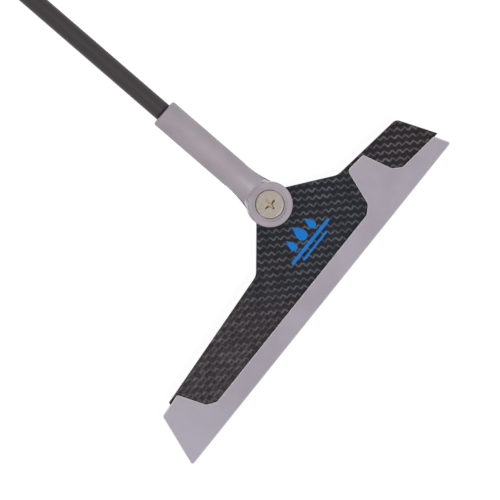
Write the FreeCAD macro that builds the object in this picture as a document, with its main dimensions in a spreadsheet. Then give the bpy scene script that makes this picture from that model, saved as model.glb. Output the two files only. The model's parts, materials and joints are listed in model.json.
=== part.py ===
import FreeCAD, Part
import math
import os
import re

import Sketcher
from FreeCAD import Vector

# Squeegee with a flat swivelling head on a slim tube.
#
# Frame: millimetres. The object lies on its back. Z is the swivel axis of the head and points out of
# the front face, +Y runs up the handle, and the short end of the head points to +X. The friction hinge
# leaves the head a little off square at rest. The origin is on the swivel axis, in the flat back face
# of the hinge that the squeegee lies on.

SIZES = {
    # hinge, seen along the swivel axis
    "barrel_radius": 7.9,
    "ear_radius": 12.25,
    "ear_front_rise": 5.0,
    "slot_width": 3.2,
    "slot_depth": 24.0,
    "barrel_start": 26.0,
    "barrel_end": 74.8,
    "barrel_rim_round": 1.2,
    "ear_rim_round": 0.8,
    # neck sections between barrel and ears: distance from the swivel axis, half width, height
    "neck_upper_at": 15.5,
    "neck_upper_half": 8.35,
    "neck_upper_top": 14.9,
    "neck_middle_at": 9.5,
    "neck_middle_half": 9.4,
    "neck_middle_top": 13.7,
    "neck_lower_at": 4.0,
    "neck_lower_half": 11.0,
    "neck_lower_top": 12.9,
    # swivel screw, its nut and what sits between them
    "shank_radius": 2.98,
    "shank_hole_radius": 3.15,
    "head_radius": 7.5,
    "head_height": 2.4,
    "head_seat_radius": 7.85,
    "head_seat_rise": 3.6,
    "head_round": 0.8,
    "spotface_radius": 9.3,
    "spotface_depth": 0.3,
    "cross_reach": 3.4,
    "cross_tip_half": 0.4,
    "cross_waist": 0.95,
    "cross_depth": 1.6,
    "cross_turn": -7.0,
    "nut_half_width": 4.95,
    "nut_height": 3.2,
    "nut_room": 0.1,
    "cover_radius": 8.2,
    "cover_thickness": 1.2,
    "cover_room": 0.05,
    "cover_bevel": 0.3,
    "spring_thickness": 0.5,
    "spring_radius": 4.8,
    "washer_radius": 9.0,
    "washer_thickness": 0.5,
    "washer_gap": 0.04,
    "bush_radius": 5.0,
    "bush_bore": 3.05,
    "bush_room": 0.03,
    # handle
    "tube_radius": 5.0,
    "tube_wall": 1.0,
    "tube_room": 0.05,
    "tube_start": 31.0,
    "grip_start": 330.0,
    "grip_length": 110.0,
    "grip_round": 2.0,
    "grip_first_groove": 14.0,
    "grip_groove_pitch": 9.0,
    "grip_groove_half": 1.6,
    "grip_groove_depth": 0.8,
    "grip_grooves": 10,
    "cap_collar": 6.0,
    "cap_spigot": 14.0,
    "cap_spigot_radius": 3.95,
    "eye_thickness": 6.0,
    "eye_half_width": 7.0,
    "eye_distance": 12.5,
    "eye_hole_radius": 3.2,
    "eye_edge_round": 1.2,
    "collar_round": 1.5,
    # rest turn of the whole head about the swivel axis, from square to the handle
    "head_turn": 2.1,
    # holder plate outline, measured from the swivel axis along and across the head
    "plate_thickness": 2.0,
    "plate_edge_bevel": 0.4,
    "lug_radius": 10.0,
    "neck_half": 8.0,
    "neck_rise": 2.5,
    "left_shoulder_x": 34.4,
    "left_shoulder_y": 18.4,
    "right_shoulder_x": 35.0,
    "right_shoulder_y": 18.7,
    "shoulder_round": 8.0,
    "wing_left_x": 116.3,
    "wing_left_y": 24.4,
    "wing_left_foot_x": 124.3,
    "wing_right_x": 77.5,
    "wing_right_y": 24.4,
    "wing_right_round": 3.6,
    "wing_tip_x": 85.8,
    "plate_bottom": 46.4,
    # silicone blade outline, measured in the same way
    "edge_drop": 55.2,
    "blade_left": 134.7,
    "blade_right": 86.4,
    "blade_left_top_x": 124.1,
    "blade_left_top_y": 26.5,
    "tab_inner_x": 110.3,
    "tab_inner_y": 25.2,
    "tab_waist_x": 104.7,
    "tab_waist_y": 40.7,
    "tab_foot_x": 99.9,
    "rim_drop": 44.1,
    "clip_left_foot_x": 28.1,
    "clip_left_waist_x": 32.9,
    "clip_left_waist_y": 40.9,
    "clip_left_top_x": 40.1,
    "clip_left_top_y": 21.2,
    "clip_right_top_x": 51.8,
    "clip_right_top_y": 22.5,
    "clip_right_waist_x": 55.8,
    "clip_right_waist_y": 39.0,
    "clip_right_foot_x": 60.1,
    "clip_right_foot_y": 43.1,
    "blade_right_top_x": 83.1,
    "blade_right_top_y": 45.8,
    "blade_wall": 1.6,
    "blade_corner_round": 1.2,
    "blade_edge_round": 0.6,
    "bond_gap": 0.05,
    "lip_thickness": 1.8,
    "lip_length": 7.0,
}

document = FreeCAD.newDocument("squeegee")
sheet = document.addObject("Spreadsheet::Sheet", "sizes")


def fill_sheet():
    """Writes each driving dimension into the sheet, with its name beside it as the alias."""
    for row, (name, value) in enumerate(SIZES.items(), start=1):
        sheet.set(f"A{row}", name)
        sheet.set(f"B{row}", str(value))
        sheet.setAlias(f"B{row}", name)
    document.recompute()


def bound(formula):
    """The formula with every size's name written as a reference to its cell."""
    return re.sub(r"[a-z_]+", lambda m: f"sizes.{m[0]}" if m[0] in SIZES else m[0], str(formula))


def number(formula):
    """What the formula comes to at the sizes in the sheet."""
    found = sheet.evalExpression(bound(formula))
    return float(getattr(found, "Value", found))


def bind(target, **formulas):
    """Ties properties of an object to formulas. A double underscore stands for a dot."""
    for name, formula in formulas.items():
        target.setExpression(name.replace("__", "."), bound(formula))


# Heights of the faces, up the swivel axis from the back face of the hinge.
AXIS_HEIGHT = "barrel_radius"
HEAD_SEAT = "barrel_radius + head_seat_rise"
EAR_FRONT = "barrel_radius + ear_front_rise"
NUT_FLOOR = "cover_thickness + nut_height + spring_thickness"


# ---------------------------------------------------------------- sketches


def new_body(label, height="0", turn="0"):
    """An empty body whose own XY plane lies at the given height, turned about Z by an angle in degrees."""
    body = document.addObject("PartDesign::Body", label)
    body.Label = label
    bind(body, Placement__Base__z=height, Placement__Rotation__Angle=turn)
    return body


def new_sketch(body, name, role="XY_Plane", offset="0"):
    """A sketch on one of the body's origin planes, moved along that plane's normal."""
    drawn = body.newObject("Sketcher::SketchObject", name)
    plane = next(p for p in body.Origin.OriginFeatures if p.Role == role)
    drawn.AttachmentSupport = [(plane, "")]
    drawn.MapMode = "FlatFace"
    bind(drawn, AttachmentOffset__Base__z=offset)
    document.recompute()
    return drawn


def place_point(drawn, geometry, end, x, y):
    """Ties one end of a piece of geometry to a place measured from the sketch's origin."""
    for kind, formula in (("DistanceX", x), ("DistanceY", y)):
        index = drawn.addConstraint(
            Sketcher.Constraint(kind, -1, 1, geometry, end, number(formula))
        )
        drawn.setExpression(f"Constraints[{index}]", bound(formula))


def draw_outline(drawn, corners):
    """A closed outline of straight lines through the corners, each tied to its formulas."""
    points = [Vector(number(x), number(y), 0) for x, y in corners]
    lines = [
        drawn.addGeometry(Part.LineSegment(a, b), False)
        for a, b in zip(points, points[1:] + points[:1])
    ]
    for line, following in zip(lines, lines[1:] + lines[:1]):
        drawn.addConstraint(Sketcher.Constraint("Coincident", line, 2, following, 1))
    for line, (x, y) in zip(lines, corners):
        place_point(drawn, line, 1, x, y)


def draw_circle(drawn, radius, x="0", y="0"):
    """A circle tied to its centre and radius."""
    centre = Vector(number(x), number(y), 0)
    circle = drawn.addGeometry(Part.Circle(centre, Vector(0, 0, 1), number(radius)), False)
    place_point(drawn, circle, 3, x, y)
    index = drawn.addConstraint(Sketcher.Constraint("Radius", circle, number(radius)))
    drawn.setExpression(f"Constraints[{index}]", bound(radius))


def draw_tongue(drawn, half_width, reach, start):
    """A tongue: straight sides from start to reach along Y, closed by a half circle of half_width."""
    radius, far, near = number(half_width), number(reach), number(start)
    places = ((radius, far), (radius, near), (-radius, near), (-radius, far))
    corners = [Vector(x, y, 0) for x, y in places]
    sides = [drawn.addGeometry(Part.LineSegment(a, b), False) for a, b in zip(corners, corners[1:])]
    circle = Part.Circle(Vector(0, far, 0), Vector(0, 0, 1), radius)
    end = drawn.addGeometry(Part.ArcOfCircle(circle, 0, math.pi), False)
    for first, second in zip(sides, sides[1:]):
        drawn.addConstraint(Sketcher.Constraint("Coincident", first, 2, second, 1))
    drawn.addConstraint(Sketcher.Constraint("Coincident", end, 1, sides[0], 1))
    drawn.addConstraint(Sketcher.Constraint("Coincident", end, 2, sides[-1], 2))
    place_point(drawn, end, 3, "0", reach)
    place_point(drawn, sides[0], 1, half_width, reach)
    place_point(drawn, sides[1], 1, half_width, start)
    place_point(drawn, sides[1], 2, f"-({half_width})", start)


# ---------------------------------------------------------------- features


def add_pad(body, drawn, length, centred=False, reverse=False):
    """Raises the sketch by length, or by half of it each way."""
    pad = body.newObject("PartDesign::Pad", drawn.Name + "_pad")
    pad.Profile = drawn
    pad.SideType = "Symmetric" if centred else "One side"
    pad.Reversed = reverse
    bind(pad, Length=length)
    return finish_feature(body, pad, drawn)


def add_pocket(body, drawn, length=None, centred=False, reverse=False):
    """Cuts the sketch to a depth, or right through both ways where no depth is given."""
    pocket = body.newObject("PartDesign::Pocket", drawn.Name + "_cut")
    pocket.Profile = drawn
    pocket.SideType = "Symmetric" if centred or length is None else "One side"
    pocket.Reversed = reverse
    if length is None:
        pocket.Type = "ThroughAll"
    else:
        bind(pocket, Length=length)
    return finish_feature(body, pocket, drawn, removes=True)


def add_revolution(body, drawn, axis="V_Axis", cut=False):
    """Turns the sketch a full turn about one of its own axes, as solid or as a cut."""
    kind = "PartDesign::Groove" if cut else "PartDesign::Revolution"
    turned = body.newObject(kind, drawn.Name + "_turned")
    turned.Profile = drawn
    turned.ReferenceAxis = (drawn, [axis])
    turned.Angle = 360
    return finish_feature(body, turned, drawn, removes=cut)


def add_edge_feature(body, kind, size, wanted, property_name):
    """Rounds or bevels the edges of the body's tip that the test picks out."""
    base = body.Tip
    names = [f"Edge{i}" for i, edge in enumerate(base.Shape.Edges, start=1) if wanted(edge)]
    if not names:
        raise ValueError(f"{body.Label}: no edge was found to {kind.lower()}")
    feature = body.newObject(f"PartDesign::{kind}", f"{body.Name}_{kind}")
    feature.Base = (base, names)
    bind(feature, **{property_name: size})
    body.Tip = feature
    document.recompute()
    return feature


def add_round(body, radius, wanted):
    return add_edge_feature(body, "Fillet", radius, wanted, "Radius")


def add_bevel(body, size, wanted):
    return add_edge_feature(body, "Chamfer", size, wanted, "Size")


def finish_feature(body, feature, drawn, removes=False):
    """Makes the feature the body's tip, and checks that it added or removed material."""
    before = feature.BaseFeature.Shape.Volume if feature.BaseFeature else 0.0
    drawn.Visibility = False
    body.Tip = feature
    document.recompute()
    change = feature.Shape.Volume - before
    if (change >= 0) if removes else (change <= 0):
        raise ValueError(f"{body.Label}: {feature.Name} changed the volume by {change:.3f}")
    return feature


# Tests that pick edges by where they are, in the body's own frame.


def along_axis_at(*places):
    """Straight edges along Z that pass within a tenth of a millimetre of the given places."""
    targets = [(number(x), number(y)) for x, y in places]

    def wanted(edge):
        box = edge.BoundBox
        upright = box.XLength < 1e-3 and box.YLength < 1e-3
        return upright and any(math.hypot(box.XMin - x, box.YMin - y) < 0.1 for x, y in targets)

    return wanted


def level_at(height, but_radius=None):
    """Edges that lie flat at the height. A circle of but_radius is left out."""
    level = number(height)
    skipped = number(but_radius) if but_radius else None

    def wanted(edge):
        box = edge.BoundBox
        flat = box.ZLength < 1e-3 and abs(box.ZMin - level) < 1e-3
        circle = isinstance(edge.Curve, Part.Circle)
        return flat and not (skipped and circle and abs(edge.Curve.Radius - skipped) < 1e-3)

    return wanted


def circle_of(radius, height=None, distance=None):
    """Round edges of the radius, at a height along Z or a distance along Y."""
    size = number(radius)

    def wanted(edge):
        if not isinstance(edge.Curve, Part.Circle) or abs(edge.Curve.Radius - size) > 1e-3:
            return False
        at_height = height is None or abs(edge.BoundBox.ZMin - number(height)) < 1e-3
        at_distance = distance is None or abs(edge.BoundBox.YMin - number(distance)) < 1e-3
        return at_height and at_distance

    return wanted


# ---------------------------------------------------------------- rings and rods


def new_cylinder(label, radius, height, lift="0"):
    """A plain cylinder up the swivel axis."""
    rod = document.addObject("Part::Cylinder", label)
    rod.Label = label
    bind(rod, Radius=radius, Height=height, Placement__Base__z=lift)
    return rod


def new_ring(label, outer, inner, thickness, lift):
    """A flat ring round the swivel axis, from lift up."""
    ring = document.addObject("Part::Cut", label)
    ring.Label = label
    ring.Base = new_cylinder(label + "_disc", outer, thickness)
    ring.Tool = new_cylinder(label + "_hole", inner, f"3 * ({thickness})", f"-({thickness})")
    bind(ring, Placement__Base__z=lift)
    return ring


# ---------------------------------------------------------------- head


def make_holder_plate():
    """Flat plate with two wings and a round lug for the swivel screw."""
    body = new_body("holder_plate", AXIS_HEIGHT, turn="head_turn")
    outline = new_sketch(body, "plate_outline")
    left_shoulder = ("-left_shoulder_x", "-left_shoulder_y")
    right_shoulder = ("right_shoulder_x", "-right_shoulder_y")
    right_corner = ("wing_right_x", "-wing_right_y")
    draw_outline(
        outline,
        [
            ("neck_half", "neck_rise"),
            right_shoulder,
            right_corner,
            ("wing_tip_x", "-plate_bottom"),
            ("-wing_left_foot_x", "-plate_bottom"),
            ("-wing_left_x", "-wing_left_y"),
            left_shoulder,
            ("-neck_half", "neck_rise"),
        ],
    )
    add_pad(body, outline, "plate_thickness", centred=True)
    lug = new_sketch(body, "plate_lug")
    draw_circle(lug, "lug_radius")
    add_pad(body, lug, "plate_thickness", centred=True)
    add_round(body, "shoulder_round", along_axis_at(left_shoulder, right_shoulder))
    add_round(body, "wing_right_round", along_axis_at(right_corner))
    hole = new_sketch(body, "plate_bush_hole")
    draw_circle(hole, "bush_radius + bush_room")
    add_pocket(body, hole)
    for side in ("", "-"):
        face = level_at(f"{side}plate_thickness / 2", but_radius="bush_radius + bush_room")
        add_bevel(body, "plate_edge_bevel", face)
    return body


def make_silicone_blade():
    """Moulded channel with a wiping lip. Its walls rise as a tab at one end and a clip near the other."""
    body = new_body("silicone_blade", AXIS_HEIGHT, turn="head_turn")
    outline = new_sketch(body, "blade_outline")
    lower_left = ("-blade_left", "-edge_drop")
    lower_right = ("blade_right", "-edge_drop")
    tab_outer = ("-blade_left_top_x", "-blade_left_top_y")
    tab_inner = ("-tab_inner_x", "-tab_inner_y")
    clip_left = ("clip_left_top_x", "-clip_left_top_y")
    clip_right = ("clip_right_top_x", "-clip_right_top_y")
    draw_outline(
        outline,
        [
            lower_left,
            lower_right,
            ("blade_right_top_x", "-blade_right_top_y"),
            ("clip_right_foot_x", "-clip_right_foot_y"),
            ("clip_right_waist_x", "-clip_right_waist_y"),
            clip_right,
            clip_left,
            ("clip_left_waist_x", "-clip_left_waist_y"),
            ("clip_left_foot_x", "-rim_drop"),
            ("-tab_foot_x", "-rim_drop"),
            ("-tab_waist_x", "-tab_waist_y"),
            tab_inner,
            tab_outer,
        ],
    )
    half = "(plate_thickness / 2 + bond_gap + blade_wall)"
    add_pad(body, outline, f"2 * {half}", centred=True)
    soft_corners = along_axis_at(lower_left, lower_right, clip_left, tab_inner, tab_outer)
    add_round(body, "blade_corner_round", soft_corners)

    lip = new_sketch(body, "blade_lip_relief", role="YZ_Plane")
    draw_outline(
        lip,
        [
            ("-edge_drop + lip_length", f"-{half}"),
            ("-edge_drop", f"{half} - lip_thickness"),
            ("-edge_drop - blade_wall", f"{half} - lip_thickness"),
            ("-edge_drop - blade_wall", f"-{half} - blade_wall"),
            ("-edge_drop + lip_length", f"-{half} - blade_wall"),
        ],
    )
    add_pocket(body, lip)

    channel = new_sketch(body, "blade_channel")
    draw_outline(
        channel,
        [
            ("-wing_left_foot_x - bond_gap", "-plate_bottom - bond_gap"),
            ("blade_right + blade_wall", "-plate_bottom - bond_gap"),
            ("blade_right + blade_wall", "-clip_left_top_y + blade_wall"),
            ("-wing_left_x - bond_gap", "-clip_left_top_y + blade_wall"),
            ("-wing_left_x - bond_gap", "-wing_left_y"),
        ],
    )
    add_pocket(body, channel, "plate_thickness + 2 * bond_gap", centred=True)
    add_round(body, "blade_edge_round", level_at(half))
    return body


def make_pivot_bush():
    """Sleeve in the plate's lug that turns on the screw."""
    return new_ring(
        "pivot_bush", "bush_radius", "bush_bore", "plate_thickness", f"{AXIS_HEIGHT} - plate_thickness / 2"
    )


# ---------------------------------------------------------------- hinge


def draw_ellipse(drawn, half_width, top):
    """An ellipse that stands on the sketch's horizontal axis, wider than it is high."""
    wide, rise = number(half_width), number(top) / 2
    ellipse = drawn.addGeometry(Part.Ellipse(Vector(0, rise, 0), wide, rise), False)
    drawn.exposeInternalGeometry(ellipse)
    major, minor = ellipse + 1, ellipse + 2
    place_point(drawn, ellipse, 3, "0", f"({top}) / 2")
    place_point(drawn, major, 1, half_width, f"({top}) / 2")
    index = drawn.addConstraint(Sketcher.Constraint("DistanceY", minor, 2, minor, 1, number(top)))
    drawn.setExpression(f"Constraints[{index}]", bound(top))


def make_handle_socket():
    """Round barrel that holds the tube, flaring into a fork with two ears for the head's lug."""
    body = new_body("handle_socket")
    ears = new_sketch(body, "socket_ears")
    draw_circle(ears, "ear_radius")
    add_pad(body, ears, EAR_FRONT)
    add_round(body, "ear_rim_round", circle_of("ear_radius"))

    barrel = new_sketch(body, "socket_barrel", role="XZ_Plane", offset="-barrel_end")
    draw_circle(barrel, "barrel_radius", "0", AXIS_HEIGHT)
    add_pad(body, barrel, "barrel_end - barrel_start")
    add_round(body, "barrel_rim_round", circle_of("barrel_radius", distance="barrel_end"))

    start = new_sketch(body, "neck_start", role="XZ_Plane", offset="-barrel_start")
    draw_circle(start, "barrel_radius", "0", AXIS_HEIGHT)
    sections = []
    for place in ("upper", "middle", "lower"):
        section = new_sketch(body, f"neck_{place}", role="XZ_Plane", offset=f"-neck_{place}_at")
        draw_ellipse(section, f"neck_{place}_half", f"neck_{place}_top")
        sections.append(section)
    neck = body.newObject("PartDesign::AdditiveLoft", "neck_loft")
    neck.Profile = start
    neck.Sections = sections
    finish_feature(body, neck, start)

    clear_front = new_sketch(body, "ear_front_face", offset=EAR_FRONT)
    draw_circle(clear_front, "ear_radius")
    add_pocket(body, clear_front, "barrel_radius", reverse=True)

    slot = new_sketch(body, "fork_slot", offset=AXIS_HEIGHT)
    draw_outline(
        slot,
        [
            ("-ear_radius - slot_width", "-ear_radius - slot_width"),
            ("ear_radius + slot_width", "-ear_radius - slot_width"),
            ("ear_radius + slot_width", "slot_depth"),
            ("-ear_radius - slot_width", "slot_depth"),
        ],
    )
    add_pocket(body, slot, "slot_width", centred=True)

    round_cuts = [
        ("screw_hole", "shank_hole_radius", EAR_FRONT, EAR_FRONT, False),
        ("head_seat", "head_seat_radius", EAR_FRONT, f"{EAR_FRONT} - ({HEAD_SEAT})", False),
        ("ear_spotface", "spotface_radius", EAR_FRONT, "spotface_depth", False),
        ("cover_recess", "cover_radius + cover_room", "0", "cover_thickness", True),
    ]
    for name, radius, height, depth, upward in round_cuts:
        drawn = new_sketch(body, name, offset=height)
        draw_circle(drawn, radius)
        add_pocket(body, drawn, depth, reverse=upward)

    pocket = new_sketch(body, "nut_pocket")
    draw_outline(pocket, hexagon("nut_half_width + nut_room"))
    add_pocket(body, pocket, NUT_FLOOR, reverse=True)

    bore = new_sketch(body, "tube_bore", role="XZ_Plane", offset="-barrel_end")
    draw_circle(bore, "tube_radius + tube_room", "0", AXIS_HEIGHT)
    add_pocket(body, bore, "barrel_end - tube_start", reverse=True)
    return body


def hexagon(half_width):
    """Corners of a hexagon that measures twice half_width across its flats."""
    reach = f"({half_width}) / cos(30 deg)"
    return [(f"{reach} * cos({turn} deg)", f"{reach} * sin({turn} deg)") for turn in range(0, 360, 60)]


def make_pivot_screw():
    """Flat-headed screw with a cross recess, that the head swivels on."""
    body = new_body("pivot_screw", HEAD_SEAT, turn="cross_turn")
    head = new_sketch(body, "screw_head")
    draw_circle(head, "head_radius")
    add_pad(body, head, "head_height")
    add_round(body, "head_round", circle_of("head_radius", height="head_height"))
    shank = new_sketch(body, "screw_shank")
    draw_circle(shank, "shank_radius")
    add_pad(body, shank, f"{HEAD_SEAT} - cover_thickness - nut_room", reverse=True)
    cross = new_sketch(body, "screw_cross", offset="head_height")
    arm = [
        ("cross_reach", "-cross_tip_half"),
        ("cross_reach", "cross_tip_half"),
        ("cross_waist", "cross_waist"),
    ]
    corners = []
    for _ in range(4):
        corners += arm
        arm = [(f"-({y})", x) for x, y in arm]
    draw_outline(cross, corners)
    add_pocket(body, cross, "cross_depth")
    return body


def make_pivot_nut():
    """Thin hexagon nut in the back ear."""
    body = new_body("pivot_nut", "cover_thickness")
    flats = new_sketch(body, "nut_flats")
    draw_outline(flats, hexagon("nut_half_width"))
    add_pad(body, flats, "nut_height")
    hole = new_sketch(body, "nut_hole")
    draw_circle(hole, "shank_radius + bush_room")
    add_pocket(body, hole)
    return body


def make_nut_cover():
    """Disc that closes the nut's pocket, flush with the back of the hinge."""
    body = new_body("nut_cover")
    disc = new_sketch(body, "cover_disc")
    draw_circle(disc, "cover_radius")
    add_pad(body, disc, "cover_thickness")
    add_bevel(body, "cover_bevel", circle_of("cover_radius", height="0"))
    return body


def make_hinge_rings():
    """Spring washer under the nut, and a friction washer on each face of the plate."""
    face = "(plate_thickness / 2 + washer_gap)"
    return [
        new_ring(
            "spring_washer",
            "spring_radius",
            "shank_hole_radius",
            "spring_thickness",
            "cover_thickness + nut_height",
        ),
        new_ring(
            "front_friction_washer",
            "washer_radius",
            "shank_hole_radius",
            "washer_thickness",
            f"{AXIS_HEIGHT} + {face}",
        ),
        new_ring(
            "rear_friction_washer",
            "washer_radius",
            "shank_hole_radius",
            "washer_thickness",
            f"{AXIS_HEIGHT} - {face} - washer_thickness",
        ),
    ]


# ---------------------------------------------------------------- handle

GRIP_END = "(grip_start + grip_length)"
EYE_AT = f"({GRIP_END} + cap_collar + eye_distance)"


def new_rod(body, name, radius, start, end):
    """Round bar along Y on the handle's axis, from start to end."""
    drawn = new_sketch(body, name, role="XZ_Plane", offset=f"-({end})")
    draw_circle(drawn, radius)
    return add_pad(body, drawn, f"{end} - ({start})")


def new_bore(body, name, radius, start, end):
    """Round hole along Y on the handle's axis, from the open end back to start."""
    drawn = new_sketch(body, name, role="XZ_Plane", offset=f"-({end})")
    draw_circle(drawn, radius)
    return add_pocket(body, drawn, f"{end} - ({start})", reverse=True)


def make_handle_tube():
    """Straight round tube, from deep in the socket to the end of the grip."""
    body = new_body("handle_tube", AXIS_HEIGHT)
    new_rod(body, "tube_outside", "tube_radius", "tube_start", GRIP_END)
    new_bore(body, "tube_inside", "tube_radius - tube_wall", "tube_start", GRIP_END)
    return body


def make_grip_sleeve():
    """Sleeve over the tube's end, with a row of shallow ring grooves."""
    body = new_body("grip_sleeve", AXIS_HEIGHT)
    new_rod(body, "grip_outside", "barrel_radius", "grip_start", GRIP_END)
    add_round(body, "grip_round", circle_of("barrel_radius", distance="grip_start"))
    new_bore(body, "grip_bore", "tube_radius + tube_room", "grip_start", GRIP_END)
    groove = new_sketch(body, "grip_groove")
    floor, mouth = "barrel_radius - grip_groove_depth", "barrel_radius + grip_groove_depth"
    middle = "grip_start + grip_first_groove"
    draw_outline(
        groove,
        [
            (floor, f"{middle} - grip_groove_half / 2"),
            (floor, f"{middle} + grip_groove_half / 2"),
            (mouth, f"{middle} + grip_groove_half"),
            (mouth, f"{middle} - grip_groove_half"),
        ],
    )
    cut = add_revolution(body, groove, cut=True)
    row = body.newObject("PartDesign::LinearPattern", "grip_groove_row")
    row.Originals = [cut]
    row.Direction = (groove, ["V_Axis"])
    row.Mode = "Spacing"
    bind(row, Offset="grip_groove_pitch", Occurrences="grip_grooves")
    body.Tip = row
    document.recompute()
    return body


def make_end_cap():
    """Plug in the tube's end, with a collar and a flat eye to hang the squeegee by."""
    body = new_body("end_cap", AXIS_HEIGHT)
    new_rod(body, "cap_spigot_rod", "cap_spigot_radius", f"{GRIP_END} - cap_spigot", GRIP_END)
    new_rod(body, "cap_collar_rod", "barrel_radius", GRIP_END, f"{GRIP_END} + cap_collar")
    add_round(body, "collar_round", circle_of("barrel_radius", distance=f"{GRIP_END} + cap_collar"))
    eye = new_sketch(body, "cap_eye")
    draw_tongue(eye, "eye_half_width", EYE_AT, f"{GRIP_END} + cap_collar / 2")
    add_pad(body, eye, "eye_thickness", centred=True)
    hole = new_sketch(body, "cap_eye_hole")
    draw_circle(hole, "eye_hole_radius", "0", EYE_AT)
    add_pocket(body, hole)
    add_round(body, "eye_edge_round", circle_of("eye_half_width"))
    return body


# ---------------------------------------------------------------- the whole object


def check_document():
    """Stops if any object failed to recompute."""
    failed = [o.Name for o in document.Objects if {"Invalid", "Error"} & set(o.State)]
    if failed:
        raise RuntimeError(f"objects failed: {failed}")


def write_parts(parts):
    """Writes each sub-part to its own file, once all of them are sound."""
    for part in parts:
        if part.Shape.isNull() or not part.Shape.isValid():
            raise RuntimeError(f"{part.Label} has no sound shape")
    os.makedirs("parts", exist_ok=True)
    for part in parts:
        part.Shape.exportStep(f"parts/{part.Label}.step")
        print(f"{part.Label}: {part.Shape.Volume:.0f} mm3")


fill_sheet()
parts = [
    make_holder_plate(),
    make_silicone_blade(),
    make_pivot_bush(),
    make_handle_socket(),
    make_pivot_screw(),
    make_pivot_nut(),
    make_nut_cover(),
    *make_hinge_rings(),
    make_handle_tube(),
    make_grip_sleeve(),
    make_end_cap(),
]
document.recompute()
check_document()
write_parts(parts)
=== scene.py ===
import json
import math

import bmesh
import bpy
from mathutils import Matrix, Vector


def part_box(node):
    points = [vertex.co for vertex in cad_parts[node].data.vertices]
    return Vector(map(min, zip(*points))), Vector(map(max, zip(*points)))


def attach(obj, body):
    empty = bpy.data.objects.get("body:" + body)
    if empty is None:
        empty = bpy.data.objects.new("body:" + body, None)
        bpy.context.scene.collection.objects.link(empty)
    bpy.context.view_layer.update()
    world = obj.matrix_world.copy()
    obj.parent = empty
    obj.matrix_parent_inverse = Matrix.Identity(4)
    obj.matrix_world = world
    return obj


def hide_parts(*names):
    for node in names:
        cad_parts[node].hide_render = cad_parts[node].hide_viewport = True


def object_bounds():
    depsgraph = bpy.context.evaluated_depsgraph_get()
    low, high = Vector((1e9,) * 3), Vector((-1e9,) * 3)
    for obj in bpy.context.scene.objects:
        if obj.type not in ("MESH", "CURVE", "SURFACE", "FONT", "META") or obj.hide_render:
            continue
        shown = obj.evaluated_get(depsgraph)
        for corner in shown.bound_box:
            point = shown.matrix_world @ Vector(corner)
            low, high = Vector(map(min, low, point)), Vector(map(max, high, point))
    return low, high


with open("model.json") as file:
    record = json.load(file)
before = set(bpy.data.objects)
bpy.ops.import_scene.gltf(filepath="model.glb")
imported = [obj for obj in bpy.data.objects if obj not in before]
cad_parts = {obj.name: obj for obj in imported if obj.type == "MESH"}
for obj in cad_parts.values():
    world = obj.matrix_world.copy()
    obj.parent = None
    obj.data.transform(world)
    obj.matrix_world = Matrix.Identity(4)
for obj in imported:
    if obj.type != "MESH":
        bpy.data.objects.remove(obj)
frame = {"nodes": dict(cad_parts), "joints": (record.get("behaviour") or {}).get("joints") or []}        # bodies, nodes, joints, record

MM = 0.001
CAD_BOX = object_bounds()

# Places that the rest of the script works from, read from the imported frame.
NODES = frame["nodes"]
SWIVEL = Vector(frame["joints"][0]["pos_m"])
PLATE_LOW, PLATE_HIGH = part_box("holder_plate")
BLADE_LOW, BLADE_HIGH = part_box("silicone_blade")
TUBE_LOW, TUBE_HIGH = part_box("handle_tube")
GRIP_LOW, GRIP_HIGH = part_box("grip_sleeve")
SCREW_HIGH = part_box("pivot_screw")[1]

# How far the screw's head stands out of the socket's face, and how far the head is turned from square.
HEAD_RISE = 1.0 * MM
HEAD_TURN = math.radians(2.1)


# ---------------------------------------------------------------- material nodes


def rgb(red, green, blue):
    return (red, green, blue, 1.0)


def grey(value, tint=(1.0, 1.0, 1.0)):
    return rgb(*(value * t for t in tint))


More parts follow.
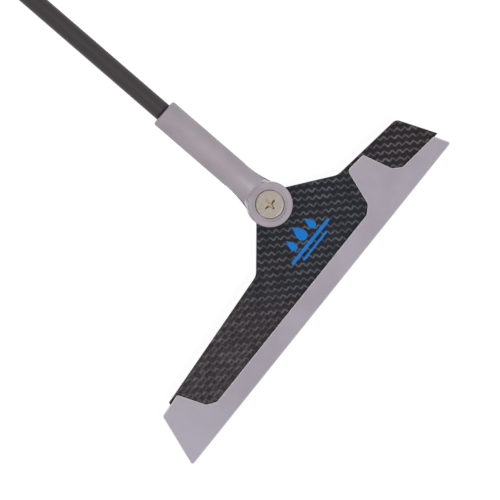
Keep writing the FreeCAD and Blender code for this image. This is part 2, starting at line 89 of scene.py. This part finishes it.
class Finish:
    """A material's node tree, with short calls for the nodes that the finishes here are made of."""

    def __init__(self, name, **shader):
        self.material = bpy.data.materials.new(name)
        self.material.use_nodes = True
        self.tree = self.material.node_tree
        self.shader = self.tree.nodes["Principled BSDF"]
        for socket, value in shader.items():
            self.shader.inputs[socket.replace("_", " ")].default_value = value
        self.place = self.scaled(self.node("ShaderNodeTexCoord").outputs["Object"], 1 / MM)

    def node(self, kind, **settings):
        made = self.tree.nodes.new(kind)
        for name, value in settings.items():
            setattr(made, name, value)
        return made

    def feed(self, socket, value):
        """Links a socket to another, or sets it to a number or colour."""
        if isinstance(value, bpy.types.NodeSocket):
            self.tree.links.new(value, socket)
        else:
            socket.default_value = value

    def set(self, socket, value):
        self.feed(self.shader.inputs[socket], value)

    def math(self, operation, *values):
        made = self.node("ShaderNodeMath", operation=operation)
        for socket, value in zip(made.inputs, values):
            self.feed(socket, value)
        return made.outputs[0]

    def plus(self, first, second):
        return self.math("ADD", first, second)

    def minus(self, first, second):
        return self.math("SUBTRACT", first, second)

    def times(self, first, second):
        return self.math("MULTIPLY", first, second)

    def away(self, value, centre):
        """How far the value is from the centre, either way."""
        return self.math("ABSOLUTE", self.minus(value, centre))

    def scaled(self, vector, factor):
        """The vector times a number, or times three numbers."""
        made = self.node("ShaderNodeVectorMath", operation="MULTIPLY")
        self.feed(made.inputs[0], vector)
        self.feed(made.inputs[1], factor if hasattr(factor, "__len__") else (factor,) * 3)
        return made.outputs[0]

    def length(self, vector):
        made = self.node("ShaderNodeVectorMath", operation="LENGTH")
        self.feed(made.inputs[0], vector)
        return made.outputs["Value"]

    def parts(self, vector):
        made = self.node("ShaderNodeSeparateXYZ")
        self.feed(made.inputs[0], vector)
        return made.outputs

    def joined(self, x, y):
        """The vector (x, y, 0)."""
        made = self.node("ShaderNodeCombineXYZ")
        self.feed(made.inputs["X"], x)
        self.feed(made.inputs["Y"], y)
        return made.outputs[0]

    def from_axis(self):
        """Distance from the swivel's axis in millimetres."""
        return self.length(self.scaled(self.place, (1.0, 1.0, 0.0)))

    def noise(self, vector, scale, detail=2.0, roughness=0.5):
        """Cloudy noise from 0 to 1, with scale features to the millimetre."""
        made = self.node("ShaderNodeTexNoise")
        self.feed(made.inputs["Vector"], vector)
        made.inputs["Scale"].default_value = scale
        made.inputs["Detail"].default_value = detail
        made.inputs["Roughness"].default_value = roughness
        return made.outputs["Fac"]

    def swing(self, vector, scale, span, detail=2.0):
        """Cloudy noise about zero, with the span between its lowest and its highest."""
        return self.times(self.minus(self.noise(vector, scale, detail), 0.5), span)

    def ramp(self, value, low, high, at_low=0.0, at_high=1.0):
        """at_low where the value is low, at_high where it is high, and a smooth step between."""
        made = self.node("ShaderNodeMapRange", interpolation_type="SMOOTHSTEP")
        for socket, number in zip(made.inputs, (value, low, high, at_low, at_high)):
            self.feed(socket, number)
        return made.outputs[0]

    def mix(self, share, first, second):
        """first where share is 0, second where it is 1, for colours."""
        made = self.node("ShaderNodeMix", data_type="RGBA")
        sockets = [s for s in made.inputs if s.type == "RGBA"]
        self.feed(made.inputs["Factor"], share)
        self.feed(sockets[0], first)
        self.feed(sockets[1], second)
        return next(s for s in made.outputs if s.type == "RGBA")

    def blend(self, share, first, second):
        """first where share is 0, second where it is 1, for numbers."""
        made = self.node("ShaderNodeMix", data_type="FLOAT")
        self.feed(made.inputs["Factor"], share)
        self.feed(made.inputs["A"], first)
        self.feed(made.inputs["B"], second)
        return made.outputs["Result"]

    def clouded(self, noise, dark, light, low=0.3, high=0.7):
        """The dark colour where the noise is low, and the light one where it is high."""
        return self.mix(self.ramp(noise, low, high), dark, light)

    def bump(self, height, depth, strength):
        """Relief of the given depth in metres on the shader's normal."""
        made = self.node("ShaderNodeBump")
        made.inputs["Strength"].default_value = strength
        made.inputs["Distance"].default_value = depth
        self.feed(made.inputs["Height"], height)
        self.set("Normal", made.outputs[0])


# The plate's twill. TOW_WIDTH is in millimetres and ARC_RADIUS in tow widths. The pairs are places along
# the head, in millimetres, between which the left end's painted sheen and painted highlights give way to the
# middle's.
TOW_WIDTH = 2.76
ARC_RADIUS = 0.36
TOW_PAINTED_SHEEN = (-96.0, -10.0)
STEP_FADE = (-60.0, -10.0)
ARC_FADE = (-80.0, -20.0)
# Middle of the twill's blue part, and distances from it between which blue gives way to brown.
BLUE_MIDDLE = 8.0
BLUE_FADE = (20.0, 60.0)


class Laminate(Finish):
    """Lacquered carbon fibre in a two-over-two twill: steps of painted highlights along the tow edges on near
    black.
    """

    def __init__(self):
        coat = {"Coat_Weight": 0.05, "Coat_Roughness": 0.2}
        super().__init__("carbon_laminate", Roughness=0.45, Specular_IOR_Level=0.16, **coat)
        turned = self.node("ShaderNodeVectorRotate", rotation_type="Z_AXIS")
        self.feed(turned.inputs["Vector"], self.place)
        turned.inputs["Angle"].default_value = -HEAD_TURN
        self.cloth = turned.outputs[0]
        self.x, y, self.z = self.parts(self.cloth)
        drift = self.plus(self.swing(self.cloth, 0.05, 0.5), self.swing(self.cloth, 0.45, 0.36, detail=1.0))
        across = self.plus(self.math("DIVIDE", self.x, TOW_WIDTH), drift)
        along = self.minus(self.math("DIVIDE", y, TOW_WIDTH), drift)
        column, row = self.math("FLOOR", across), self.math("FLOOR", along)
        self.in_column, self.in_row = self.math("FRACT", across), self.math("FRACT", along)
        step = self.plus(column, row)
        self.odd = self.math("FLOORED_MODULO", step, 2.0)
        self.upright = self.math("FLOOR", self.math("DIVIDE", self.math("FLOORED_MODULO", step, 4.0), 2.0))
        cell = self.node("ShaderNodeTexWhiteNoise", noise_dimensions="2D")
        self.feed(cell.inputs["Vector"], self.joined(column, row))
        self.chance = cell.outputs["Value"]

    def streaks(self):
        """Fine threads along each tow."""
        up = self.noise(self.scaled(self.cloth, (9.0, 0.7, 0.0)), 1.0, detail=3.0)
        across = self.noise(self.scaled(self.cloth, (0.7, 9.0, 0.0)), 1.0, detail=3.0)
        return self.blend(self.upright, across, up)

    def crowns(self):
        """Height of each tow's rounded back."""
        up = self.math("SINE", self.times(self.in_column, math.pi))
        across = self.math("SINE", self.times(self.in_row, math.pi))
        return self.blend(self.upright, across, up)

    def tint(self):
        """1 where the twill is blue and 0 where it is brown."""
        from_blue = self.plus(self.away(self.x, BLUE_MIDDLE), self.swing(self.cloth, 0.07, 90.0))
        return self.ramp(from_blue, *BLUE_FADE, 1.0, 0.0)

    def tows(self, tint, streak):
        """Near black, varied from cell to cell, with a greyer painted sheen toward the left end."""
        ground = self.mix(tint, grey(0.0060, (1.6, 0.72, 1.10)), grey(0.0052, (0.62, 1.0, 1.85)))
        tow = self.mix(self.ramp(self.chance, 0.0, 1.0, 0.0, 0.45), ground, grey(0.013))
        tow = self.mix(self.ramp(streak, 0.45, 0.8, 0.0, 0.5), tow, grey(0.017, (1.0, 1.0, 1.08)))
        # Painted sheen: the tows turn greyer toward the left end.
        sheen = self.mix(self.chance, grey(0.012, (1.25, 0.93, 1.08)), grey(0.030, (1.16, 0.94, 1.06)))
        return self.mix(self.ramp(self.x, *TOW_PAINTED_SHEEN, 0.85, 0.0), tow, sheen)

    def step_highlights(self):
        """Painted highlights on the tow edges, which step along the twill, with one side weaker at the left
        end.
        """
        to_column = self.blend(self.odd, self.in_column, self.minus(1.0, self.in_column))
        to_row = self.blend(self.odd, self.in_row, self.minus(1.0, self.in_row))
        side = self.ramp(self.minus(to_column, to_row), -0.25, 0.25)
        edge = self.ramp(self.math("SMOOTH_MIN", to_column, to_row, 0.14), 0.05, 0.25, 1.0, 0.0)
        strength = self.blend(side, self.ramp(self.x, *STEP_FADE, 0.5, 1.0), 1.0)
        patch = self.ramp(self.noise(self.cloth, 0.3), 0.3, 0.7, 0.5, 1.0)
        uneven = self.ramp(self.chance, 0.0, 1.0, 0.5, 1.1)
        return self.times(self.times(self.times(edge, strength), patch), uneven)

    def arc_highlights(self):
        """Painted highlights on the tows' rounded ends, toward the left end only."""
        offset = self.joined(self.minus(self.in_column, 0.5), self.minus(self.in_row, 0.5))
        arc = self.ramp(self.away(self.length(offset), ARC_RADIUS), 0.03, 0.18, 1.0, 0.0)
        arc = self.times(arc, self.ramp(self.in_row, 0.15, 0.6, 1.0, 0.0))
        arc = self.times(arc, self.ramp(self.x, *ARC_FADE, 0.6, 0.0))
        return self.times(arc, self.ramp(self.chance, 0.0, 1.0, 0.5, 1.0))


def carbon_laminate():
    """The laminate, with a brownish painted highlight on its bevelled edges."""
    look = Laminate()
    streak, tint = look.streaks(), look.tint()
    # Colour of the painted highlights on the tow edges and ends.
    pale = look.mix(tint, grey(0.100, (1.06, 0.93, 1.04)), grey(0.092, (0.92, 0.97, 1.22)))
    painted_highlights = look.math("MAXIMUM", look.step_highlights(), look.arc_highlights())
    face = look.mix(painted_highlights, look.tows(tint, streak), pale)
    top = PLATE_HIGH.z / MM
    # Painted highlight, lighter and brownish, on the bevelled edges below the front face.
    bevel_highlight = look.ramp(look.z, top - 0.3, top - 0.02, 0.9, 0.0)
    look.set("Base Color", look.mix(bevel_highlight, face, rgb(0.050, 0.034, 0.029)))
    look.set("Roughness", look.ramp(streak, 0.2, 0.8, 0.36, 0.50))
    look.bump(look.plus(look.crowns(), look.times(streak, 0.25)), 0.06 * MM, strength=0.35)
    return look.material


def silicone():
    """Matt moulded silicone, mauve-grey, faintly cloudy, paler at its left end, with a painted highlight
    along its rounded rims.
    """
    look = Finish(
        "silicone",
        Roughness=0.62,
        Specular_IOR_Level=0.3,
        Subsurface_Weight=0.12,
        Subsurface_Radius=(1.0, 0.8, 0.8),
        Subsurface_Scale=1.5 * MM,
    )
    fine = look.noise(look.place, 2.2, detail=3.0, roughness=0.6)
    x, _, z = look.parts(look.place)
    top = BLADE_HIGH.z / MM
    # Painted highlight along the rounded rims just under the front face.
    rim_highlight = look.ramp(z, top - 0.16, top - 0.005, 0.9, 0.0)
    cloud = look.noise(look.place, 0.06, detail=3.0)
    body = look.clouded(cloud, rgb(0.276, 0.247, 0.288), rgb(0.306, 0.276, 0.318))
    body = look.mix(look.ramp(x, -130.0, -80.0, 0.9, 0.0), body, rgb(0.325, 0.305, 0.352))
    look.set("Base Color", look.mix(rim_highlight, body, rgb(0.50, 0.467, 0.485)))
    look.set("Roughness", look.ramp(fine, 0.3, 0.7, 0.56, 0.68))
    look.bump(fine, 0.03 * MM, strength=0.35)
    return look.material


# Radius in millimetres of the painted highlight arcs where the ears' rims meet the neck.
EAR_HIGHLIGHT_RADIUS = 12.7


def grey_moulding():
    """Matt mauve-grey moulded plastic with a fine spark-eroded grain, and painted highlight arcs where the
    ears' rims meet the neck.
    """
    look = Finish(
        "grey_moulding",
        Roughness=0.5,
        Specular_IOR_Level=0.4,
        Subsurface_Weight=0.06,
        Subsurface_Scale=1.0 * MM,
    )
    grain = look.noise(look.place, 3.5, detail=3.0, roughness=0.65)
    body = look.clouded(look.noise(look.place, 0.08), rgb(0.276, 0.243, 0.271), rgb(0.306, 0.270, 0.300))
    x, y, _ = look.parts(look.place)
    # Painted highlight: near-white arcs at the sides where the ears' rims meet the neck, also lifting the
    # shade there.
    rim = look.ramp(look.away(look.from_axis(), EAR_HIGHLIGHT_RADIUS), 0.35, 0.95, 1.0, 0.0)
    ear_arc_highlight = look.times(rim, look.ramp(y, 4.0, 6.5))
    ear_arc_highlight = look.times(ear_arc_highlight, look.ramp(look.math("ABSOLUTE", x), 6.0, 8.5, 0.0, 0.95))
    look.set("Base Color", look.mix(ear_arc_highlight, body, rgb(0.80, 0.76, 0.77)))
    look.set("Roughness", look.ramp(grain, 0.3, 0.7, 0.44, 0.58))
    look.bump(grain, 0.025 * MM, strength=0.4)
    return look.material


def natural_nylon():
    """Cream nylon, a little translucent, painted lighter and yellower down in the driver recess to lift the
    shade there.
    """
    look = Finish(
        "natural_nylon",
        Roughness=0.42,
        Specular_IOR_Level=0.45,
        Subsurface_Weight=0.7,
        Subsurface_Radius=(1.0, 0.85, 0.65),
        Subsurface_Scale=2.4 * MM,
    )
    _, _, z = look.parts(look.place)
    head_top = SCREW_HIGH.z / MM
    # Painted light: the driver recess is made lighter and yellower where its shade falls.
    sunk = look.ramp(z, head_top - 1.2, head_top - 0.25, 1.0, 0.0)
    recess_light = look.times(sunk, look.ramp(look.from_axis(), 3.6, 4.0, 1.0, 0.0))
    cloud = look.noise(look.place, 0.5, detail=3.0)
    cream = look.clouded(cloud, rgb(0.325, 0.291, 0.249), rgb(0.366, 0.331, 0.288))
    look.set("Base Color", look.mix(recess_light, cream, rgb(0.420, 0.350, 0.225)))
    look.bump(look.noise(look.place, 2.5), 0.02 * MM, strength=0.35)
    return look.material


def dark_tube():
    """Matt dark fibre-reinforced tube with faint drawn lines along it."""
    look = Finish("dark_tube", Roughness=0.55, Specular_IOR_Level=0.3)
    lines = look.noise(look.scaled(look.place, (6.0, 0.04, 6.0)), 1.0, detail=4.0, roughness=0.6)
    dark, light = rgb(0.032, 0.027, 0.028), rgb(0.044, 0.037, 0.039)
    look.set("Base Color", look.clouded(lines, dark, light, 0.35, 0.65))
    look.set("Roughness", look.ramp(look.noise(look.place, 3.0), 0.3, 0.7, 0.44, 0.56))
    look.bump(lines, 0.02 * MM, strength=0.4)
    return look.material


def grip_rubber():
    """Black moulded rubber with a soft stipple, greyer and smoother in the patches that hands polish."""
    look = Finish("grip_rubber", Roughness=0.7, Specular_IOR_Level=0.35)
    worn = look.noise(look.place, 0.12, detail=3.0)
    dark, light = rgb(0.030, 0.029, 0.031), rgb(0.048, 0.046, 0.048)
    look.set("Base Color", look.clouded(worn, dark, light, 0.35, 0.7))
    look.set("Roughness", look.ramp(worn, 0.3, 0.7, 0.74, 0.6))
    look.bump(look.noise(look.place, 2.6, roughness=0.7), 0.05 * MM, strength=0.5)
    return look.material


def white_washer():
    """Smooth white low-friction plastic, faintly mottled."""
    look = Finish("white_washer", Roughness=0.35, Specular_IOR_Level=0.45)
    cloud = look.noise(look.place, 1.2, detail=3.0)
    look.set("Base Color", look.mix(cloud, rgb(0.70, 0.70, 0.67), rgb(0.80, 0.80, 0.78)))
    look.bump(cloud, 0.02 * MM, strength=0.4)
    return look.material


def spring_steel():
    """Bright stainless steel with rolled grain."""
    look = Finish("spring_steel", Metallic=1.0, Roughness=0.3)
    grain = look.noise(look.scaled(look.place, (8.0, 0.5, 0.5)), 1.0, detail=3.0)
    look.set("Base Color", look.mix(grain, rgb(0.50, 0.50, 0.50), rgb(0.64, 0.64, 0.63)))
    look.set("Roughness", look.ramp(grain, 0.2, 0.8, 0.24, 0.4))
    return look.material


def blue_ink():
    """Screen-printed ink, with the faintly uneven cover that such ink has."""
    look = Finish("blue_ink", Roughness=0.55, Specular_IOR_Level=0.15)
    cover = look.noise(look.place, 1.6, detail=3.0)
    look.set("Base Color", look.clouded(cover, rgb(0.0, 0.120, 0.43), rgb(0.0, 0.155, 0.51)))
    look.bump(cover, 0.01 * MM, strength=0.4)
    return look.material


def paint_nodes():
    """Gives every CAD node its finish."""
    moulding, nylon, washer = grey_moulding(), natural_nylon(), white_washer()
    finishes = {
        "holder_plate": carbon_laminate(),
        "silicone_blade": silicone(),
        "pivot_bush": nylon,
        "handle_socket": moulding,
        "pivot_screw": nylon,
        "pivot_nut": nylon,
        "nut_cover": moulding,
        "spring_washer": spring_steel(),
        "front_friction_washer": washer,
        "rear_friction_washer": washer,
        "handle_tube": dark_tube(),
        "grip_sleeve": grip_rubber(),
        "end_cap": moulding,
    }
    for name, material in finishes.items():
        mesh = NODES[name].data
        mesh.materials.clear()
        mesh.materials.append(material)


# ---------------------------------------------------------------- pieces built as meshes


def on_head(x, y, z):
    """A point given in millimetres in the head's own axes, in metres in the frame."""
    turned = Matrix.Rotation(HEAD_TURN, 4, "Z") @ Vector((x * MM, y * MM, 0))
    return turned + Vector((SWIVEL.x, SWIVEL.y, z * MM))


def rounded(corners, steps=6):
    """The outline through (x, y, radius) corners, with an arc of that radius in each."""
    points = []
    for index, (x, y, radius) in enumerate(corners):
        here = Vector((x, y))
        back = (Vector(corners[index - 1][:2]) - here).normalized()
        ahead = (Vector(corners[(index + 1) % len(corners)][:2]) - here).normalized()
        half = back.angle(ahead) / 2
        centre = here + (back + ahead).normalized() * radius / math.sin(half)
        first = here + back * radius / math.tan(half) - centre
        last = here + ahead * radius / math.tan(half) - centre
        sweep = first.angle_signed(last)
        for step in range(steps + 1):
            points.append(centre + Matrix.Rotation(-sweep * step / steps, 2) @ first)
    return points


def new_piece(name, mesh, material, body):
    piece = bpy.data.objects.new(name, mesh)
    bpy.context.scene.collection.objects.link(piece)
    mesh.materials.append(material)
    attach(piece, body)
    return piece


def slab(name, outline, low, high):
    """A closed slab with the outline in the head's own axes, between two heights, in millimetres."""
    mesh = bpy.data.meshes.new(name)
    bm = bmesh.new()
    face = bm.faces.new([bm.verts.new(on_head(x, y, low)) for x, y in outline])
    face.normal_update()
    raised = bmesh.ops.extrude_face_region(bm, geom=[face])["geom"]
    lift = Vector((0, 0, (high - low) * MM))
    bmesh.ops.translate(bm, verts=[v for v in raised if isinstance(v, bmesh.types.BMVert)], vec=lift)
    bmesh.ops.recalc_face_normals(bm, faces=bm.faces)
    bm.to_mesh(mesh)
    bm.free()
    return mesh


def cut_away(piece, cutter_mesh):
    """Takes the cutter's space out of the piece's mesh."""
    cutter = bpy.data.objects.new("cutter", cutter_mesh)
    bpy.context.scene.collection.objects.link(cutter)
    modifier = piece.modifiers.new("cut", "BOOLEAN")
    modifier.operation = "DIFFERENCE"
    modifier.solver = "EXACT"
    modifier.object = cutter
    bpy.context.view_layer.update()
    shaped = bpy.data.meshes.new_from_object(piece.evaluated_get(bpy.context.evaluated_depsgraph_get()))
    piece.modifiers.clear()
    piece.data = shaped
    bpy.data.objects.remove(cutter)


def smooth(piece, sharp_angle):
    """Smooth shading across shallow edges, with the flat faces kept flat."""
    piece.data.shade_smooth()
    piece.data.set_sharp_from_angle(angle=math.radians(sharp_angle))
    piece.modifiers.new("flat_faces", "WEIGHTED_NORMAL").keep_sharp = True


def bevel(bm, edges, radius, segments):
    """Rounds the edges to a radius in millimetres."""
    shape = {"offset": radius * MM, "segments": segments, "profile": 0.5}
    bmesh.ops.bevel(bm, geom=edges, affect="EDGES", clamp_overlap=True, **shape)


def at_height(bm, height):
    """Edges that lie at a height in millimetres."""
    return [e for e in bm.edges if all(abs(v.co.z - height * MM) < 1e-6 for v in e.verts)]


# The silicone's outline in the head's own axes: (x, y, corner radius) in millimetres.
BLADE_CORNERS = [
    (-134.7, -55.2, 1.2),
    (86.4, -55.2, 1.2),
    (83.1, -45.8, 0.8),
    (60.1, -43.1, 2.2),
    (55.8, -39.0, 2.6),
    (51.8, -22.5, 0.9),
    (40.1, -21.2, 2.6),
    (32.9, -40.9, 3.0),
    (28.1, -44.1, 2.2),
    (-99.9, -44.1, 2.2),
    (-104.7, -40.7, 2.6),
    (-110.3, -25.2, 1.2),
    (-124.1, -26.5, 1.2),
]
# The channel for the plate, which leaves a gap above and below it.
CHANNEL_CORNERS = [(-124.35, -46.45), (90.0, -46.45), (90.0, -19.6), (-116.35, -19.6), (-116.35, -24.4)]
CHANNEL_GAP = 0.05
LIP_LENGTH = 7.0
LIP_THICKNESS = 1.8
FRONT_ROUND = 1.1
REAR_ROUND = 0.5


def make_blade():
    """Silicone channel with rounded rims and a wiping lip that thins from behind."""
    low, high = BLADE_LOW.z / MM, BLADE_HIGH.z / MM
    mesh = slab("silicone_wiper", rounded(BLADE_CORNERS), low, high)
    bm = bmesh.new()
    bm.from_mesh(mesh)
    edge_y = BLADE_CORNERS[0][1]
    heel = on_head(0, edge_y + LIP_LENGTH, low)
    toe = on_head(0, edge_y, high - LIP_THICKNESS)
    outward = (toe - heel).cross(on_head(1, 0, 0) - on_head(0, 0, 0)).normalized()
    if outward.z > 0:
        outward.negate()
    everything = bm.verts[:] + bm.edges[:] + bm.faces[:]
    bmesh.ops.bisect_plane(bm, geom=everything, dist=1e-7, plane_co=heel, plane_no=outward, clear_outer=True)
    bmesh.ops.holes_fill(bm, edges=[e for e in bm.edges if e.is_boundary])
    bmesh.ops.recalc_face_normals(bm, faces=bm.faces)
    bevel(bm, at_height(bm, high), FRONT_ROUND, 6)
    bevel(bm, at_height(bm, low), REAR_ROUND, 3)
    bm.to_mesh(mesh)
    bm.free()
    piece = new_piece("silicone_wiper", mesh, silicone(), "head")
    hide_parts("silicone_blade")
    plate_low, plate_high = PLATE_LOW.z / MM - CHANNEL_GAP, PLATE_HIGH.z / MM + CHANNEL_GAP
    cut_away(piece, slab("channel", CHANNEL_CORNERS, plate_low, plate_high))
    smooth(piece, 35)


def lathe(name, profile, segments=96):
    """A closed ring around the handle's axis, from (distance along it, radius) points in millimetres."""
    mesh = bpy.data.meshes.new(name)
    bm = bmesh.new()
    middle = (TUBE_LOW.z + TUBE_HIGH.z) / 2
    loops = []
    for step in range(segments):
        angle = 2 * math.pi * step / segments
        side, rise = math.sin(angle) * MM, math.cos(angle) * MM
        loops.append([bm.verts.new((radius * side, y * MM, middle + radius * rise)) for y, radius in profile])
    for here, following in zip(loops, loops[1:] + loops[:1]):
        for index in range(len(profile)):
            before = index - 1
            bm.faces.new((here[before], here[index], following[index], following[before]))
    bmesh.ops.recalc_face_normals(bm, faces=bm.faces)
    bm.to_mesh(mesh)
    bm.free()
    return mesh


# The grip, in millimetres from its near end.
GRIP_BORE = 5.05
GRIP_ROUND = 2.0
ROUND_STEPS = 8
END_CHAMFER = 0.4
FIRST_GROOVE = 14.0
GROOVE_PITCH = 9.0
GROOVES = 10
GROOVE_HALF = 1.9
GROOVE_DEPTH = 0.95
LAND_CROWN = 0.12
# The profile's points between the round and the chamfer: their spacing and the space left at each end.
PROFILE_STEP = 0.3
PROFILE_START = 0.4
PROFILE_STOP = 0.6


def grip_radius(distance, full):
    """Outer radius at a distance from the near end: crowned lands with soft round grooves between."""
    to_groove = min(abs(distance - FIRST_GROOVE - GROOVE_PITCH * n) for n in range(GROOVES))
    crown = LAND_CROWN * (1 + math.cos(math.pi * min(to_groove / (GROOVE_PITCH / 2), 1.0))) / 2
    dip = 0.0
    if to_groove < GROOVE_HALF:
        dip = GROOVE_DEPTH * (1 + math.cos(math.pi * to_groove / GROOVE_HALF)) / 2
    return full - crown - dip


def make_grip():
    """Moulded rubber sleeve with soft ring grooves and a rounded near end."""
    start, end = GRIP_LOW.y / MM, GRIP_HIGH.y / MM
    full = (GRIP_HIGH.x - GRIP_LOW.x) / 2 / MM
    profile = [(start, GRIP_BORE)]
    for step in range(ROUND_STEPS, -1, -1):
        angle = math.pi / 2 * step / ROUND_STEPS
        inward, down = GRIP_ROUND * (1 - math.sin(angle)), GRIP_ROUND * (1 - math.cos(angle))
        profile.append((start + inward, full - down))
    distance = GRIP_ROUND + PROFILE_START
    while distance < end - start - PROFILE_STOP:
        profile.append((start + distance, grip_radius(distance, full)))
        distance += PROFILE_STEP
    profile += [(end - END_CHAMFER, full), (end, full - END_CHAMFER), (end, GRIP_BORE)]
    mesh = lathe("grip_rubber_sleeve", profile)
    piece = new_piece("grip_rubber_sleeve", mesh, grip_rubber(), "handle")
    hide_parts("grip_sleeve")
    smooth(piece, 40)


# The printed mark: middle of its width, and the ink's gap above the plate and thickness, in millimetres.
MARK_X = -2.0
INK_GAP = 0.006
INK_THICKNESS = 0.03
# Share of a bar's half width that its corners are rounded by, short of 1 so that no two points meet.
BAR_ROUND = 0.98


def drop_outline(x, y, half_width, half_height, steps=48):
    """A water drop around a point, with its tip toward the swivel."""
    outline = []
    for step in range(steps):
        turn = 2 * math.pi * step / steps
        width = half_width * math.sin(turn) * math.sin(turn / 2) ** 1.5
        outline.append((x - width, y + half_height * math.cos(turn)))
    return outline


def bar_outline(x, y, half_length, half_width):
    """A bar with round ends around a point."""
    signs = ((-1, -1), (1, -1), (1, 1), (-1, 1))
    radius = half_width * BAR_ROUND
    return rounded([(x + half_length * across, y + half_width * up, radius) for across, up in signs])


def make_mark():
    """A plain printed mark of three water drops over two bars."""
    shapes = [
        drop_outline(MARK_X, -21.8, 4.1, 5.0),
        drop_outline(MARK_X - 7.8, -22.9, 2.9, 3.7),
        drop_outline(MARK_X + 7.8, -22.9, 2.9, 3.7),
        bar_outline(MARK_X, -29.6, 15.5, 0.9),
        bar_outline(MARK_X, -32.9, 10.0, 0.6),
    ]
    ink = blue_ink()
    low = PLATE_HIGH.z / MM + INK_GAP
    for number, outline in enumerate(shapes, 1):
        name = f"printed_mark_{number}"
        new_piece(name, slab(name, outline, low, low + INK_THICKNESS), ink, "head")


# ---------------------------------------------------------------- camera, light and floor

# Width of the view at the socket's face, and the screw's place right of and above the view's middle.
VIEW_WIDTH = 0.2665
SCREW_RIGHT = 10.58 * MM
SCREW_ABOVE = 24.31 * MM
# Lean of the handle to the left in the view, and the camera's tilt off the front face's normal.
HANDLE_LEAN = math.radians(49.2)
VIEW_TILT = math.radians(3.0)
CAMERA_DISTANCE = 2.6
SENSOR_WIDTH = 36.0

# Strength of the surrounding light from the sides and from overhead.
SIDE_LIGHT = 0.50
TOP_LIGHT = 0.14
FLOOR_HALF = 6.0
FLOOR_GLOW = 0.93


def make_camera():
    """Looks down on the front face, a little from the handle's side, with the handle rising to the left."""
    toward_camera = Vector((0, math.sin(VIEW_TILT), math.cos(VIEW_TILT)))
    across = Vector((1, 0, 0))
    up_handle = toward_camera.cross(across)
    right = across * math.cos(HANDLE_LEAN) - up_handle * math.sin(HANDLE_LEAN)
    up = across * math.sin(HANDLE_LEAN) + up_handle * math.cos(HANDLE_LEAN)
    screw_rim = Vector((SWIVEL.x, SWIVEL.y, SCREW_HIGH.z - HEAD_RISE))
    target = screw_rim - right * SCREW_RIGHT - up * SCREW_ABOVE
    data = bpy.data.cameras.new("camera")
    data.sensor_width = SENSOR_WIDTH
    data.lens = SENSOR_WIDTH * CAMERA_DISTANCE / VIEW_WIDTH
    data.clip_start, data.clip_end = 0.1, 20.0
    camera = bpy.data.objects.new("camera", data)
    bpy.context.scene.collection.objects.link(camera)
    turn = Matrix((right, up, toward_camera)).transposed().to_4x4()
    camera.matrix_world = Matrix.Translation(target + toward_camera * CAMERA_DISTANCE) @ turn
    bpy.context.scene.camera = camera


def make_light(name, place, size, power):
    """A soft square light that faces the frame's origin."""
    data = bpy.data.lights.new(name, "AREA")
    data.shape = "SQUARE"
    data.size = size
    data.energy = power
    lamp = bpy.data.objects.new(name, data)
    bpy.context.scene.collection.objects.link(lamp)
    lamp.location = Vector(place)
    lamp.rotation_euler = (-Vector(place)).to_track_quat("-Z", "Y").to_euler()


def make_world():
    """Even white light from the sides, dimmer overhead so that glossy faces stay dark."""
    world = bpy.data.worlds.new("studio")
    bpy.context.scene.world = world
    world.use_nodes = True
    tree = world.node_tree
    background = tree.nodes["Background"]
    coordinates = tree.nodes.new("ShaderNodeTexCoord")
    split = tree.nodes.new("ShaderNodeSeparateXYZ")
    tree.links.new(coordinates.outputs["Generated"], split.inputs[0])
    height = tree.nodes.new("ShaderNodeMapRange")
    height.interpolation_type = "SMOOTHSTEP"
    tree.links.new(split.outputs["Z"], height.inputs["Value"])
    limits = {"From Min": 0.55, "From Max": 0.97, "To Min": SIDE_LIGHT, "To Max": TOP_LIGHT}
    for socket, value in limits.items():
        height.inputs[socket].default_value = value
    tree.links.new(height.outputs[0], background.inputs["Strength"])
    background.inputs["Color"].default_value = rgb(0.99, 0.985, 1.0)


def make_floor():
    """Plain pale floor under the object."""
    mesh = bpy.data.meshes.new("floor")
    corners = [(x * FLOOR_HALF, y * FLOOR_HALF, 0) for x, y in ((-1, -1), (1, -1), (1, 1), (-1, 1))]
    mesh.from_pydata(corners, [], [(0, 1, 2, 3)])
    floor = bpy.data.objects.new("floor", mesh)
    bpy.context.scene.collection.objects.link(floor)
    floor.location.z = CAD_BOX[0].z
    material = bpy.data.materials.new("floor")
    material.use_nodes = True
    shader = material.node_tree.nodes["Principled BSDF"]
    shader.inputs["Base Color"].default_value = grey(0.12)
    shader.inputs["Emission Color"].default_value = rgb(1.0, 0.995, 1.0)
    shader.inputs["Emission Strength"].default_value = FLOOR_GLOW
    shader.inputs["Roughness"].default_value = 0.9
    shader.inputs["Specular IOR Level"].default_value = 0.1
    mesh.materials.append(material)


def light_scene():
    make_world()
    make_floor()
    make_light("key", (0.15, -1.25, 2.1), 0.5, 50.0)
    make_light("fill", (-1.5, 0.8, 1.4), 1.6, 4.0)
    make_light("rim", (0.1, 2.4, 0.95), 0.9, 26.0)
    bpy.context.scene.view_settings.view_transform = "Standard"


paint_nodes()
make_blade()
make_grip()
make_mark()
make_camera()
light_scene()
bpy.context.view_layer.update()
